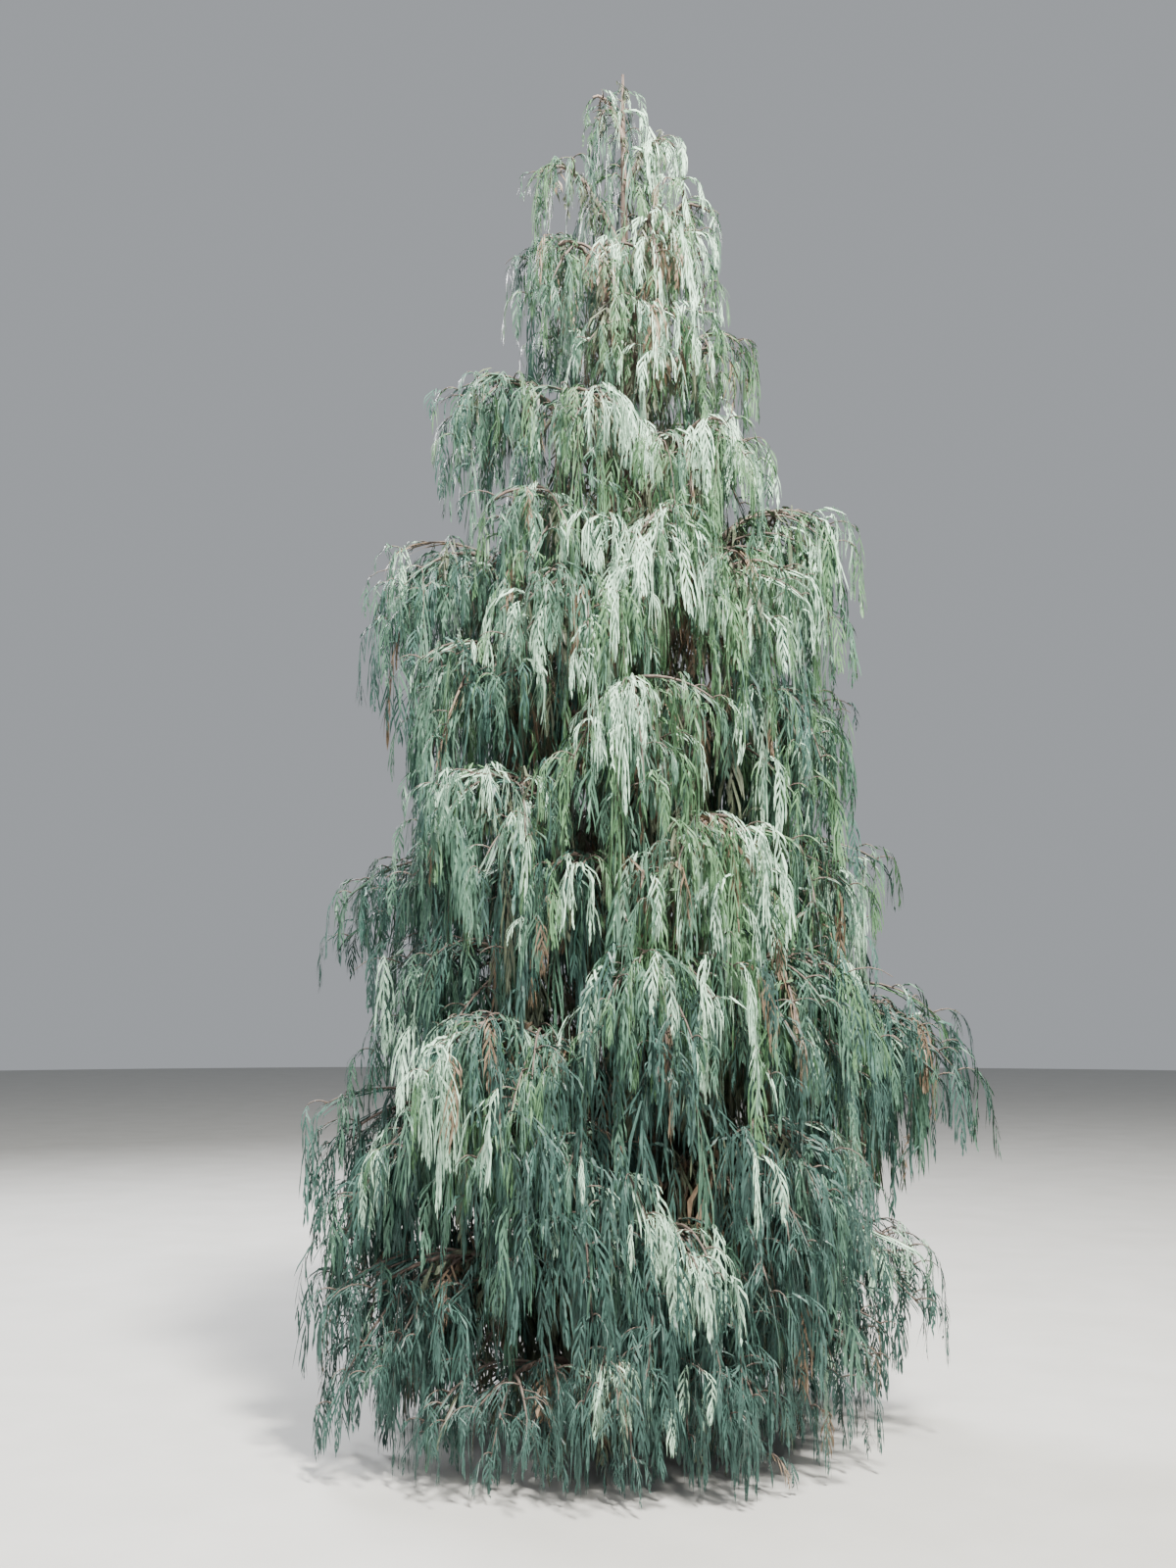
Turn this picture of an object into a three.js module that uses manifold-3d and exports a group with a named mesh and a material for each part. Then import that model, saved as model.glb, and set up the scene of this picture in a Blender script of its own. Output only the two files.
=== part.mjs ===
// Kashmir cypress: a weeping evergreen with one upright trunk, arching boughs and hanging masses of
// foliage. Millimetres, +Z up. The origin is the middle of the flat cut at ground level. -Y is the front.
import * as THREE from "three";
import { mergeVertices } from "three/addons/utils/BufferGeometryUtils.js";
import Module from "manifold-3d";

const wasm = await Module();
wasm.setup();

// Trunk
const treeHeight = 5500;
const trunkRadius = 64; // just above the root flare
const leaderRadius = 5; // at the very tip
const trunkTaper = 0.92; // 1 is a straight cone
const flareRadius = 42; // what the root flare adds at the ground
const flareHeight = 170;
const flareLobes = 5;
const flareDepth = 0.3;
const trunkSway = 26;
const trunkSides = 10;
const trunkSteps = 14;

// Limbs
const gap = 0.3; // clearance where one solid meets another
const limbRadius = 9; // at a limb's tip
const limbSwell = 0.013; // what a limb gains at its foot, as a share of its reach
const lowClimb = 0.28; // how steeply a limb climbs at the ground, rise over reach
const highClimb = 1.25; // the same at the top of the tree
const lowestFoot = 130;
const limbShare = 0.84; // of its reach, where a limb ends and twigs and sprays go on
const shoulder = 0.55; // where the arch of a limb is pulled up, as a share of its length
const tipSag = 0.1; // how far the tip nods below the crest, as a share of its length
const boughShare = 0.42; // a main bough ends here along its arch, and its foliage begins
const boughSides = 6;
const boughSteps = 4;

// Twigs
const stemSides = 4;
const stemSteps = 3;
const twigRadius = 8; // at its foot
const twigTaper = 0.55; // its tip, as a share of that
const twigSides = 3;
const twigSteps = 2;
const innerTwig = 0.45; // first twig along the arch of a limb
const outerTwig = 0.97; // last twig
const twigPitch = 440; // of reach and fall together, for each twig of a mass
const twigTrims = [1, 0.8, 0.6, 0.42]; // it is shortened until it fits, or left out
const spreadShare = 0.46; // length of the first twigs, as a share of the reach
const leastSpread = 170;
const lastSpread = 0.55; // of the last twigs, as a share of the first
const wideAngle = 85; // of the first twigs, from the limb, in degrees
const narrowAngle = 35; // of the last twigs
const endAngle = 14; // of the one that goes on from the limb's tip
const twigBow = [0.62, 0.2]; // how far out and up its arch is pulled, as shares of its length
const twigDroop = [0.12, 0.3]; // from and to, as a share of the fall of its mass

// Sprays
const sprayLength = 0.95; // of the fall of its mass
const longestSpray = 680;
const sprayWidth = 0.58; // of its own length
const sprayThickness = 1 / 30;
const spraysWanted = 5; // in a mass that reaches as far as it falls
const fewestSprays = 4;
const mostSprays = 12;
const sprayTries = 30; // for each spray wanted
const smallestSpray = 0.42; // what the last tries are cut down to
const widestTurn = 65; // of a spray, from square to its limb, in degrees
const sprayLean = [-0.15, 0.22]; // back and forward along its twig, from plumb
const innerSpray = 0.25; // nearest to the foot of a twig
const rootDepth = 0.4; // of the twig's radius there, above its middle
const leastRoot = 4; // what a spray shares with its twig, in cubic millimetres

// The room of a mass
const spaceMargin = 7; // kept clear at the border between two masses
const limbMargin = 10;
const groundClear = 12;
const topMargin = 60; // how far foliage stands above the crest of its limb
const roomAlong = 0.8; // where the middle of its room is, along the arch of its limb
const roomBelow = 0.36; // and how far below the crest, as a share of its fall
const heightWeight = 0.68; // heights count less than breadth where masses share out the room

// A spray of foliage hangs from its root at the top, as a toothed blade. This is its edge, tooth by tooth,
// down one side and up the other: how far out, as a share of its width, and how far down, as a share of
// its length.
const sprayEdge = [
  [0, 0],
  [0.5, 0.36],
  [0.25, 0.5],
  [0, 1],
  [-0.45, 0.6],
  [-0.25, 0.28],
];
const sprayRidge = 0.08; // where it is thickest

// Each leafy limb from the leader down. bearing is in degrees from the front towards +X. reach is how far
// its foliage stands out from the trunk, crest is the height of its arch and fall is the depth of the
// foliage under it. A main bough is long enough to be a piece of its own.
const crownPlan = [
  { bearing: 300, reach: 170, crest: 5370, fall: 280 },
  { bearing: 110, reach: 270, crest: 5240, fall: 360 },
  { bearing: 272, reach: 430, crest: 5090, fall: 360 },
  { bearing: 95, reach: 420, crest: 4930, fall: 500 },
  { bearing: 262, reach: 520, crest: 4760, fall: 480 },
  { bearing: 318, reach: 480, crest: 4640, fall: 480 },
  { bearing: 24, reach: 420, crest: 4760, fall: 540 },
  { bearing: 165, reach: 440, crest: 4820, fall: 600 },
  { bearing: 215, reach: 540, crest: 4480, fall: 560 },
  { bearing: 82, reach: 540, crest: 4330, fall: 560 },
  { bearing: 5, reach: 500, crest: 4330, fall: 560 },
  { bearing: 264, reach: 830, crest: 4180, fall: 600, bough: true },
  { bearing: 130, reach: 620, crest: 4050, fall: 640 },
  { bearing: 332, reach: 600, crest: 3980, fall: 600 },
  { bearing: 45, reach: 620, crest: 3880, fall: 640 },
  { bearing: 190, reach: 720, crest: 3850, fall: 700 },
  { bearing: 300, reach: 740, crest: 3620, fall: 620 },
  { bearing: 98, reach: 920, crest: 3620, fall: 800, bough: true },
  { bearing: 14, reach: 720, crest: 3480, fall: 680 },
  { bearing: 262, reach: 1130, crest: 3460, fall: 660, bough: true },
  { bearing: 60, reach: 780, crest: 3320, fall: 700 },
  { bearing: 225, reach: 950, crest: 3160, fall: 800 },
  { bearing: 330, reach: 780, crest: 3200, fall: 660 },
  { bearing: 145, reach: 980, crest: 2960, fall: 900 },
  { bearing: 284, reach: 1000, crest: 3020, fall: 760 },
  { bearing: 86, reach: 870, crest: 2860, fall: 740 },
  { bearing: 358, reach: 850, crest: 2800, fall: 680 },
  { bearing: 305, reach: 1050, crest: 2480, fall: 720 },
  { bearing: 200, reach: 1080, crest: 2450, fall: 860 },
  { bearing: 30, reach: 900, crest: 2300, fall: 760 },
  { bearing: 96, reach: 1010, crest: 2260, fall: 720 },
  { bearing: 248, reach: 1360, crest: 2200, fall: 520, bough: true },
  { bearing: 335, reach: 860, crest: 2160, fall: 640 },
  { bearing: 288, reach: 1120, crest: 1850, fall: 740 },
  { bearing: 62, reach: 1020, crest: 1800, fall: 820 },
  { bearing: 140, reach: 1150, crest: 1750, fall: 860 },
  { bearing: 5, reach: 920, crest: 1790, fall: 820 },
  { bearing: 225, reach: 1200, crest: 1550, fall: 840 },
  { bearing: 318, reach: 1180, crest: 1560, fall: 700 },
  { bearing: 108, reach: 1430, crest: 1660, fall: 740, bough: true },
  { bearing: 272, reach: 1270, crest: 1260, fall: 820 },
  { bearing: 52, reach: 1040, crest: 1180, fall: 760 },
  { bearing: 175, reach: 1220, crest: 1130, fall: 820 },
  { bearing: 338, reach: 1000, crest: 1240, fall: 820, bough: true },
  { bearing: 12, reach: 980, crest: 860, fall: 740 },
  { bearing: 104, reach: 1220, crest: 800, fall: 520 },
  { bearing: 298, reach: 1250, crest: 720, fall: 620 },
  { bearing: 140, reach: 1200, crest: 640, fall: 560 },
  { bearing: 235, reach: 1250, crest: 700, fall: 640 },
  { bearing: 356, reach: 1040, crest: 450, fall: 430 },
  { bearing: 326, reach: 1130, crest: 380, fall: 360 },
  { bearing: 32, reach: 960, crest: 400, fall: 380 },
  { bearing: 68, reach: 1000, crest: 480, fall: 400 },
];

const up = new THREE.Vector3(0, 0, 1);
const lerp = THREE.MathUtils.lerp;

// Repeatable scatter from 0 to 1.
function scatter(seed) {
  const wave = Math.sin(seed * 12.9898) * 43758.5453;
  return wave - Math.floor(wave);
}

function heading(degrees) {
  const angle = THREE.MathUtils.degToRad(degrees);
  return new THREE.Vector3(Math.sin(angle), -Math.cos(angle), 0);
}

function trunkCentre(height) {
  const share = height / treeHeight;
  const sway = trunkSway * Math.sin(share * Math.PI * 1.5) * Math.min(1, share * 4);
  return new THREE.Vector3(sway, sway * 0.4, height);
}

function trunkThickness(height, angle = 0) {
  const taper = (1 - height / treeHeight) ** trunkTaper;
  const lobes = 1 + flareDepth * Math.cos(angle * flareLobes);
  const flare = flareRadius * Math.exp(-height / flareHeight) * lobes;
  return lerp(leaderRadius, trunkRadius, taper) + flare;
}

// A closed cylinder whose rings are moved onto a path: place(share, angle, radius) gives each vertex.
function sweep(sides, steps, place, tip = 1) {
  const made = new THREE.CylinderGeometry(tip, 1, 1, sides, steps);
  const spots = made.getAttribute("position");
  for (let i = 0; i < spots.count; i++) {
    const radius = Math.hypot(spots.getX(i), spots.getZ(i));
    const angle = Math.atan2(spots.getX(i), spots.getZ(i));
    const spot = place(spots.getY(i) + 0.5, angle, radius);
    spots.setXYZ(i, spot.x, spot.y, spot.z);
  }
  return made;
}

function trunkGeometry(extra = 0) {
  return sweep(trunkSides, trunkSteps, (share, angle, radius) => {
    const height = treeHeight * share ** 1.6; // the rings lie closer at the flare
    const thickness = radius * (trunkThickness(height, angle) + extra);
    const centre = trunkCentre(height);
    return centre.add(new THREE.Vector3(Math.sin(angle), -Math.cos(angle), 0).multiplyScalar(thickness));
  });
}

// A tapering limb along part of an arch that lies in one upright plane.
function limbGeometry(arch, sides, steps, thickness, { from = 0, to = 1, tip = 1, turn = 0 } = {}) {
  const along = arch.getPoint(1).sub(arch.getPoint(0)).setZ(0).normalize();
  const across = new THREE.Vector3().crossVectors(along, up);
  const place = (share, angle, radius) => {
    const at = lerp(from, to, share);
    const over = new THREE.Vector3().crossVectors(across, arch.getTangent(at)).normalize();
    const reach = radius * thickness(at);
    const spot = arch.getPoint(at);
    spot.addScaledVector(across, Math.sin(angle + turn) * reach);
    return spot.addScaledVector(over, Math.cos(angle + turn) * reach);
  };
  return sweep(sides, steps, place, tip);
}

function limbArch(row) {
  const climb = lerp(lowClimb, highClimb, row.crest / treeHeight);
  const long = row.reach * limbShare;
  const foot = Math.max(row.crest - long * climb, lowestFoot);
  const rise = row.crest - foot;
  const sag = Math.min(long * tipSag, rise * 0.5);
  const start = trunkCentre(foot);
  const way = heading(row.bearing);
  const end = start.clone().addScaledVector(way, long).setZ(row.crest - sag);
  const pull = start.clone().addScaledVector(way, long * shoulder);
  pull.z = foot + rise * (1 + Math.sqrt(sag / rise)); // makes the arch's highest point the crest
  return new THREE.QuadraticBezierCurve3(start, pull, end);
}

function limbThickness(row) {
  const foot = limbRadius + limbSwell * row.reach;
  return (place) => lerp(foot, limbRadius, place);
}

function solidOf(geometry) {
  const bare = geometry.clone();
  bare.deleteAttribute("normal");
  bare.deleteAttribute("uv");
  const merged = mergeVertices(bare, 1e-3);
  return new wasm.Manifold(
    new wasm.Mesh({
      numProp: 3,
      vertProperties: new Float32Array(merged.getAttribute("position").array),
      triVerts: new Uint32Array(merged.index.array),
    }),
  );
}

function geometryOf(solid) {
  const { vertProperties, triVerts } = solid.getMesh();
  const geometry = new THREE.BufferGeometry();
  geometry.setAttribute("position", new THREE.BufferAttribute(vertProperties, 3));
  geometry.setIndex(new THREE.BufferAttribute(triVerts, 1));
  geometry.computeVertexNormals();
  return geometry;
}

// A limb and a twig are built of straight steps, and this is a point on them.
function onSteps(arch, steps, place, from = 0) {
  const along = (Math.min(place, 0.999) - from) / (1 - from);
  const step = Math.floor(along * steps);
  const joint = (i) => arch.getPoint(lerp(from, 1, i / steps));
  return joint(step).lerp(joint(step + 1), along * steps - step);
}

// A toothed blade with a ridge on each side, hanging from its root along the fall direction.
function sprayGeometry(root, fall, across, length) {
  const through = new THREE.Vector3().crossVectors(fall, across).normalize();
  const at = (out, down, thick = 0) =>
    root
      .clone()
      .addScaledVector(across, out * length * sprayWidth)
      .addScaledVector(fall, down * length)
      .addScaledVector(through, (thick * length * sprayThickness) / 2);
  const rim = sprayEdge.map(([out, down]) => at(out, down));
  const corners = rim.flatMap((spot, i) => {
    const next = rim[(i + 1) % rim.length];
    return [spot, at(0, sprayRidge, 1), next, next, at(0, sprayRidge, -1), spot];
  });
  const geometry = new THREE.BufferGeometry().setFromPoints(corners);
  return { geometry, rim };
}

const trunkRoom = solidOf(trunkGeometry(gap));

// The boughs, and the stems that carry foliage, each clear of the trunk.
const limbs = crownPlan.map((row, index) => {
  const arch = limbArch(row);
  const thickness = limbThickness(row);
  const middle = arch.getPoint(roomAlong);
  middle.z = row.crest - row.fall * roomBelow;
  const from = row.bough ? boughShare + gap / arch.getLength() : 0;
  const turn = Math.PI / stemSides; // flat sides left, right and below, where twigs leave it
  const bare = solidOf(limbGeometry(arch, stemSides, stemSteps, thickness, { from, turn }));
  const stem = bare.subtract(trunkRoom);
  const limb = { ...row, index, arch, middle, from, stem };
  if (row.bough) {
    const whole = limbGeometry(arch, boughSides, boughSteps, thickness, { to: boughShare });
    limb.boughSolid = solidOf(whole).subtract(trunkRoom);
  }
  return limb;
});

function inOwnRoom(limb, spot) {
  const away = (centre) => {
    const height = (spot.z - centre.z) * heightWeight;
    return (spot.x - centre.x) ** 2 + (spot.y - centre.y) ** 2 + height ** 2;
  };
  const own = away(limb.middle);
  return limbs.every((other) => {
    if (other === limb) return true;
    const apart = Math.hypot(
      other.middle.x - limb.middle.x,
      other.middle.y - limb.middle.y,
      (other.middle.z - limb.middle.z) * heightWeight,
    );
    return away(other.middle) - own > 2 * spaceMargin * apart;
  });
}

function fits(limb, spots) {
  return spots.every((spot) => {
    const out = spot.clone().sub(trunkCentre(spot.z)).setZ(0).length();
    if (out > limb.reach || spot.z < groundClear) return false;
    if (spot.z > limb.crest + topMargin || spot.z < limb.crest - limb.fall) return false;
    return inOwnRoom(limb, spot);
  });
}

function clearOfLimbs(limb, solid) {
  const clear = (wood) => !wood || wood.minGap(solid, limbMargin) >= limbMargin;
  const clearOf = (other) => (other === limb || clear(other.stem)) && clear(other.boughSolid);
  return clear(trunkRoom) && limbs.every(clearOf);
}

// A twig arches away from the limb and droops to its end.
function twigFor(limb, number, count) {
  const seed = limb.index * 17.3 + number * 3.1;
  const share = number / (count - 1);
  const side = (number + limb.index) % 2 ? 1 : -1;
  const angle = number === count - 1 ? endAngle : lerp(wideAngle, narrowAngle, share);
  const way = heading(limb.bearing + side * angle * lerp(0.8, 1.15, scatter(seed)));
  const place = lerp(Math.max(limb.from + 0.04, innerTwig), outerTwig, share);
  const root = onSteps(limb.arch, stemSteps, place, limb.from);
  const spread = Math.max(leastSpread, limb.reach * spreadShare) * lerp(1, lastSpread, share);
  for (const trim of twigTrims) {
    const long = spread * lerp(0.8, 1.1, scatter(seed + 1)) * trim;
    const droop = limb.fall * lerp(...twigDroop, scatter(seed + 2)) * trim;
    const over = root.clone().addScaledVector(way, long * twigBow[0]).addScaledVector(up, long * twigBow[1]);
    const end = root.clone().addScaledVector(way, long).addScaledVector(up, -droop);
    const arch = new THREE.QuadraticBezierCurve3(root, over, end);
    const solid = solidOf(limbGeometry(arch, twigSides, twigSteps, () => twigRadius, { tip: twigTaper }));
    const spots = [arch.getPoint(0.5), end];
    if (fits(limb, spots) && clearOfLimbs(limb, solid)) return { arch, way, solid };
  }
  return null;
}

// A spray that hangs from a twig, or nothing where it has no room.
function sprayFor(limb, mass, twig, trim, seed) {
  const luck = (number) => scatter(seed + number * 1.7);
  const place = lerp(innerSpray, 1, luck(1));
  const fall = up.clone().negate().addScaledVector(twig.way, lerp(...sprayLean, luck(3))).normalize();
  const across = heading(limb.bearing + 90 + lerp(-widestTurn, widestTurn, luck(2)));
  const hand = luck(4) < 0.5 ? 1 : -1;
  across.addScaledVector(fall, -across.dot(fall)).normalize().multiplyScalar(hand);
  const radius = twigRadius * lerp(1, twigTaper, place);
  const root = onSteps(twig.arch, twigSteps, place).addScaledVector(fall, -radius * rootDepth);
  const length = Math.min(longestSpray, limb.fall * sprayLength) * trim;
  const { geometry, rim } = sprayGeometry(root, fall, across, length);
  if (!fits(limb, rim.slice(1))) return null;
  const spray = solidOf(geometry);
  const sunk = twig.solid.intersect(spray).volume();
  const touching = mass.intersect(spray).volume() - sunk;
  return sunk > leastRoot && touching < 1 && clearOfLimbs(limb, spray) ? spray : null;
}

function foliageSolid(limb) {
  const count = Math.max(2, Math.round((limb.reach + limb.fall) / twigPitch));
  const numbers = Array.from({ length: count }, (_, number) => number);
  const twigs = numbers.map((number) => twigFor(limb, number, count)).filter(Boolean);
  let mass = limb.stem;
  for (const twig of twigs) mass = mass.add(twig.solid);
  const wanted = Math.round((spraysWanted * limb.reach) / limb.fall);
  const sprays = THREE.MathUtils.clamp(wanted, fewestSprays, mostSprays);
  const tries = sprays * sprayTries;
  for (let i = 0, hung = 0; i < tries && hung < sprays; i++) {
    const twig = twigs[i % twigs.length];
    const trim = lerp(1, smallestSpray, i / tries);
    const spray = sprayFor(limb, mass, twig, trim, limb.index * 37.1 + i * 0.83);
    if (!spray) continue;
    mass = mass.add(spray);
    hung++;
  }
  return mass.decompose().sort((a, b) => b.volume() - a.volume())[0];
}

const bark = new THREE.MeshStandardMaterial({ color: 0x6b5344, roughness: 0.95, metalness: 0 });
const boughBark = new THREE.MeshStandardMaterial({ color: 0x7a5a48, roughness: 0.9, metalness: 0 });
const foliage = new THREE.MeshStandardMaterial({ color: 0x7d9a88, roughness: 0.75, metalness: 0 });

function addPiece(tree, name, geometry, material) {
  const piece = new THREE.Mesh(geometry, material);
  piece.name = name;
  tree.add(piece);
}

function sideWord(bearing) {
  const words = ["front", "front_right", "right", "back_right", "back", "back_left", "left", "front_left"];
  return words[Math.round(bearing / 45) % words.length];
}

const tree = new THREE.Group();
addPiece(tree, "trunk", trunkGeometry(), bark);
limbs.forEach((limb) => {
  const place = `${String(limb.index + 1).padStart(2, "0")}_${sideWord(limb.bearing)}`;
  if (limb.boughSolid) addPiece(tree, `bough_${place}`, geometryOf(limb.boughSolid), boughBark);
  addPiece(tree, `foliage_${place}`, geometryOf(foliageSolid(limb)), foliage);
});

export default tree;
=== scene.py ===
import math

import bmesh
import bpy
import numpy as np
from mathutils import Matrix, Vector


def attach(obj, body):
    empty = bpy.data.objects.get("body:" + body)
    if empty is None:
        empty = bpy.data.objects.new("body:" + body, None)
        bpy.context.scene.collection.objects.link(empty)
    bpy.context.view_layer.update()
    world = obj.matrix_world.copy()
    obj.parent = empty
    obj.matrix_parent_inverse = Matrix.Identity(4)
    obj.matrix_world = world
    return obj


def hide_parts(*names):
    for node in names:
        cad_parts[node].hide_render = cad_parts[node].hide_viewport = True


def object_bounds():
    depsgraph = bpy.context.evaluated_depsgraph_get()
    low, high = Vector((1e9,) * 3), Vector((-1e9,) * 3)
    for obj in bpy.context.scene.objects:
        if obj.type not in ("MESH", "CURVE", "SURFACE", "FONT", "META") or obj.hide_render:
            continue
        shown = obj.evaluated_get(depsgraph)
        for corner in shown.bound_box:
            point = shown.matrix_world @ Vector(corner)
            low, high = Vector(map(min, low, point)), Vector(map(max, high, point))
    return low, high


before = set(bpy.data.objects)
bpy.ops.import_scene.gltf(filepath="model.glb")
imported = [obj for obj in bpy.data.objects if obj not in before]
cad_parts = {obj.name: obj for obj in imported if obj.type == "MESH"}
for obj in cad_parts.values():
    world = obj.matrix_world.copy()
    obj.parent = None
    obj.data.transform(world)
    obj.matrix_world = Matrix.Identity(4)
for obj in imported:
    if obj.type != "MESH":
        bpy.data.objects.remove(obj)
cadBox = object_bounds()

up = np.array([0.0, 0.0, 1.0])

treeShape = {
    "height": 5.5,
    "radius": 0.064,  # just above the root flare
    "leader": 0.005,  # at the very tip
    "taper": 0.92,
    "flareRadius": 0.042,
    "flareHeight": 0.17,
    "flareLobes": 5,
    "flareDepth": 0.3,
    "sway": 0.026,
    "swayTurns": 1.5,
    "swayStart": 4,
    "swaySide": 0.4,
}

limbShape = {
    "tipRadius": 0.009,
    "swell": 0.013,  # what a limb gains at its foot, as a share of its reach
    "lowClimb": 0.28,  # how steeply a limb climbs at the ground
    "highClimb": 1.25,  # the same at the top of the tree
    "lowestFoot": 0.13,
    "length": 0.84,  # of its reach
    "shoulder": 0.55,  # where its arch is pulled up
    "tipSag": 0.1,
    "mostSag": 0.5,  # of its rise
    "roomAlong": 0.8,  # the middle of its mass, along the arch
    "roomBelow": 0.36,  # and below the crest, as a share of the fall
    "heightWeight": 0.68,
    "topMargin": 0.06,
    "groundClear": 0.012,
    "lowCrest": 1.6,  # limbs lower than this hang closer, down to the ground
    "firstSpray": 0.34,  # along its arch
    "sprayRise": 0.018,  # how high sprays lie over its middle
}

# Each leafy limb from the leader down: bearing in degrees from the front towards +X, reach of its foliage
# from the trunk, height of its crest, and depth of the foliage under it.
crownPlan = [
    (300, 0.17, 5.37, 0.28),
    (110, 0.27, 5.24, 0.36),
    (272, 0.43, 5.09, 0.36),
    (95, 0.42, 4.93, 0.50),
    (262, 0.52, 4.76, 0.48),
    (318, 0.48, 4.64, 0.48),
    (24, 0.42, 4.76, 0.54),
    (165, 0.44, 4.82, 0.60),
    (215, 0.54, 4.48, 0.56),
    (82, 0.54, 4.33, 0.56),
    (5, 0.50, 4.33, 0.56),
    (264, 0.83, 4.18, 0.60),
    (130, 0.62, 4.05, 0.64),
    (332, 0.60, 3.98, 0.60),
    (45, 0.62, 3.88, 0.64),
    (190, 0.72, 3.85, 0.70),
    (300, 0.74, 3.62, 0.62),
    (98, 0.92, 3.62, 0.80),
    (14, 0.72, 3.48, 0.68),
    (262, 1.13, 3.46, 0.66),
    (60, 0.78, 3.32, 0.70),
    (225, 0.95, 3.16, 0.80),
    (330, 0.78, 3.20, 0.66),
    (145, 0.98, 2.96, 0.90),
    (284, 1.00, 3.02, 0.76),
    (86, 0.87, 2.86, 0.74),
    (358, 0.85, 2.80, 0.68),
    (305, 1.05, 2.48, 0.72),
    (200, 1.08, 2.45, 0.86),
    (30, 0.90, 2.30, 0.76),
    (96, 1.01, 2.26, 0.72),
    (248, 1.36, 2.20, 0.52),
    (335, 0.86, 2.16, 0.64),
    (288, 1.12, 1.85, 0.74),
    (62, 1.02, 1.80, 0.82),
    (140, 1.15, 1.75, 0.86),
    (5, 0.92, 1.79, 0.82),
    (225, 1.20, 1.55, 0.84),
    (318, 1.18, 1.56, 0.70),
    (108, 1.43, 1.66, 0.74),
    (272, 1.27, 1.26, 0.82),
    (52, 1.04, 1.18, 0.76),
    (175, 1.22, 1.13, 0.82),
    (338, 1.00, 1.24, 0.82),
    (12, 0.98, 0.86, 0.74),
    (104, 1.22, 0.80, 0.52),
    (298, 1.25, 0.72, 0.62),
    (140, 1.20, 0.64, 0.56),
    (235, 1.25, 0.70, 0.64),
    (356, 1.04, 0.45, 0.43),
    (326, 1.13, 0.38, 0.36),
    (32, 0.96, 0.40, 0.38),
    (68, 1.00, 0.48, 0.40),
]


def lerp(low, high, share):
    return low + (high - low) * share


# Repeatable scatter from 0 to 1, for one seed or an array of them.
def scatter(seed):
    wave = np.sin(np.asarray(seed, float) * 12.9898) * 43758.5453
    return wave - np.floor(wave)


def between(low, high, seed):
    return lerp(low, high, scatter(seed))


def heading(degrees):
    angle = np.radians(degrees)
    return np.stack([np.sin(angle), -np.cos(angle), np.zeros_like(angle)], axis=-1)


def unit(vectors):
    return vectors / np.maximum(np.linalg.norm(vectors, axis=-1, keepdims=True), 1e-9)


def trunkCentre(height):
    share = np.asarray(height, float) / treeShape["height"]
    sway = treeShape["sway"] * np.sin(share * math.pi * treeShape["swayTurns"])
    sway = sway * np.minimum(1, share * treeShape["swayStart"])
    return np.stack([sway, sway * treeShape["swaySide"], share * treeShape["height"]], axis=-1)


def trunkThickness(height, angle):
    taper = np.clip(1 - height / treeShape["height"], 0, 1) ** treeShape["taper"]
    lobes = 1 + treeShape["flareDepth"] * np.cos(angle * treeShape["flareLobes"])
    flare = treeShape["flareRadius"] * np.exp(-height / treeShape["flareHeight"]) * lobes
    return lerp(treeShape["leader"], treeShape["radius"], taper) + flare


# An arch is a curve by three points, and these give places and directions along it.
def archPoint(arch, share):
    share = np.asarray(share, float)[..., None]
    return arch[0] * (1 - share) ** 2 + arch[1] * 2 * share * (1 - share) + arch[2] * share ** 2


def archWay(arch, share):
    share = np.asarray(share, float)[..., None]
    return unit((arch[1] - arch[0]) * (1 - share) + (arch[2] - arch[1]) * share)


def archLength(arch, steps=12):
    spots = archPoint(arch, np.linspace(0, 1, steps))
    return float(np.linalg.norm(np.diff(spots, axis=0), axis=1).sum())


def limbArch(bearing, reach, crest):
    climb = lerp(limbShape["lowClimb"], limbShape["highClimb"], crest / treeShape["height"])
    long = reach * limbShape["length"]
    foot = max(crest - long * climb, limbShape["lowestFoot"])
    rise = crest - foot
    sag = min(long * limbShape["tipSag"], rise * limbShape["mostSag"])
    start = trunkCentre(foot)
    way = heading(float(bearing))
    end = start + way * long
    end[2] = crest - sag
    pull = start + way * long * limbShape["shoulder"]
    pull[2] = foot + rise * (1 + math.sqrt(sag / rise))  # makes the arch's highest point the crest
    return np.array([start, pull, end])


def growLimbs():
    limbs = []
    for index, (bearing, reach, crest, fall) in enumerate(crownPlan):
        arch = limbArch(bearing, reach, crest)
        middle = archPoint(arch, limbShape["roomAlong"])
        middle[2] = crest - fall * limbShape["roomBelow"]
        limb = {"index": index, "bearing": bearing, "reach": reach, "crest": crest, "fall": fall}
        limb.update(arch=arch, middle=middle)
        limb["back"] = (1 - math.cos(math.radians(bearing))) / 2  # limbs stand further apart there
        limb["level"] = 0 if crest < limbShape["lowCrest"] else 1
        limbs.append(limb)
    return limbs


limbs = growLimbs()
middles = np.array([limb["middle"] for limb in limbs])
flat = np.array([1, 1, limbShape["heightWeight"]])


# How far each spot is outside its mass's own room: negative is inside it.
def roomOverrun(limb, spots):
    away = (((spots[:, None, :] - middles[None]) * flat) ** 2).sum(axis=2)
    apart = np.linalg.norm((middles - limb["middle"]) * flat, axis=1)
    apart[limb["index"]] = 1  # keeps the next line from dividing by zero
    over = (away[:, limb["index"], None] - away) / (2 * apart)
    over[:, limb["index"]] = -1
    return over.max(axis=1)


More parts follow.
